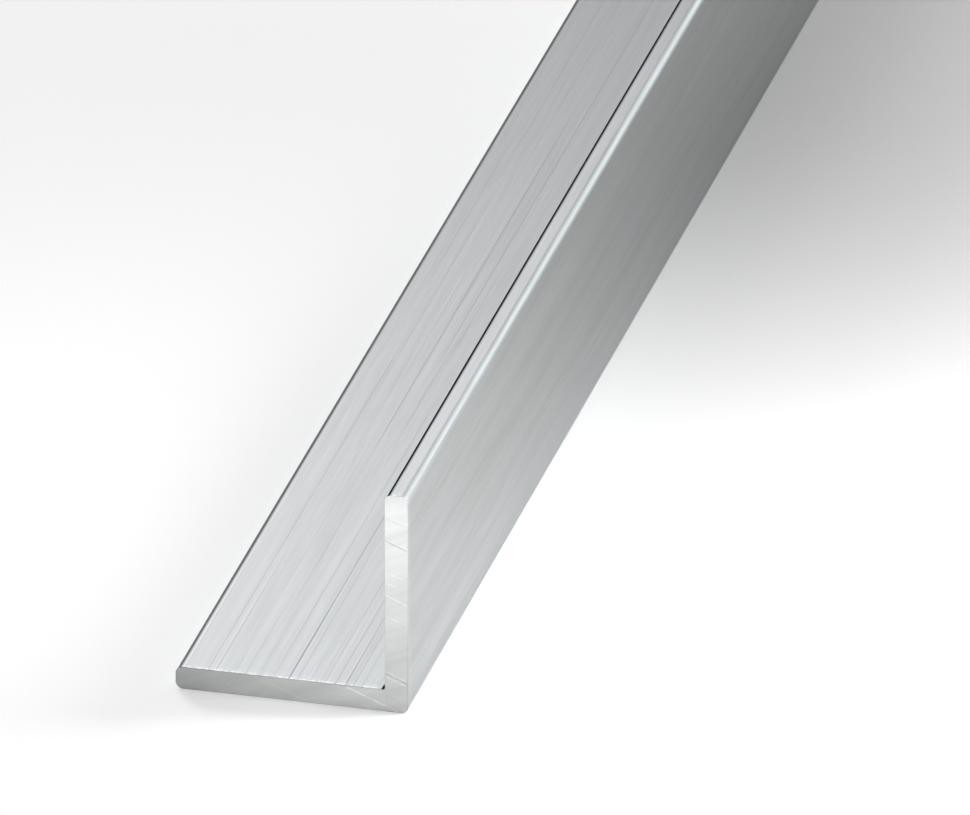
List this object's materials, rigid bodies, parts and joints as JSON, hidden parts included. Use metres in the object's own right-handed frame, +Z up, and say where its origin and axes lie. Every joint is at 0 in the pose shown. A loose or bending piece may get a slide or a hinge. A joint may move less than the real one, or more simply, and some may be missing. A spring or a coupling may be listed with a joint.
{
  "type": "metal angle section",
  "caption": "Equal-leg metal angle section of plain extruded aluminium, with rounded outer edges and square sawn ends; raw stock for framing, edging and brackets.",
  "frame": {"origin": "on the underside, midway between the leg tip and the heel and midway between the two sawn ends", "axes": "+Y along the length; +Z up along the standing leg; +X towards the heel and the standing leg's outer face"},
  "size_m": [0.03, 1, 0.03],
  "materials": {
    "mill_aluminium": "as extruded, with fine lengthwise lines"
  },
  "bodies": {
    "root": {"angle_section": "mill_aluminium"}
  },
  "joints": []
}
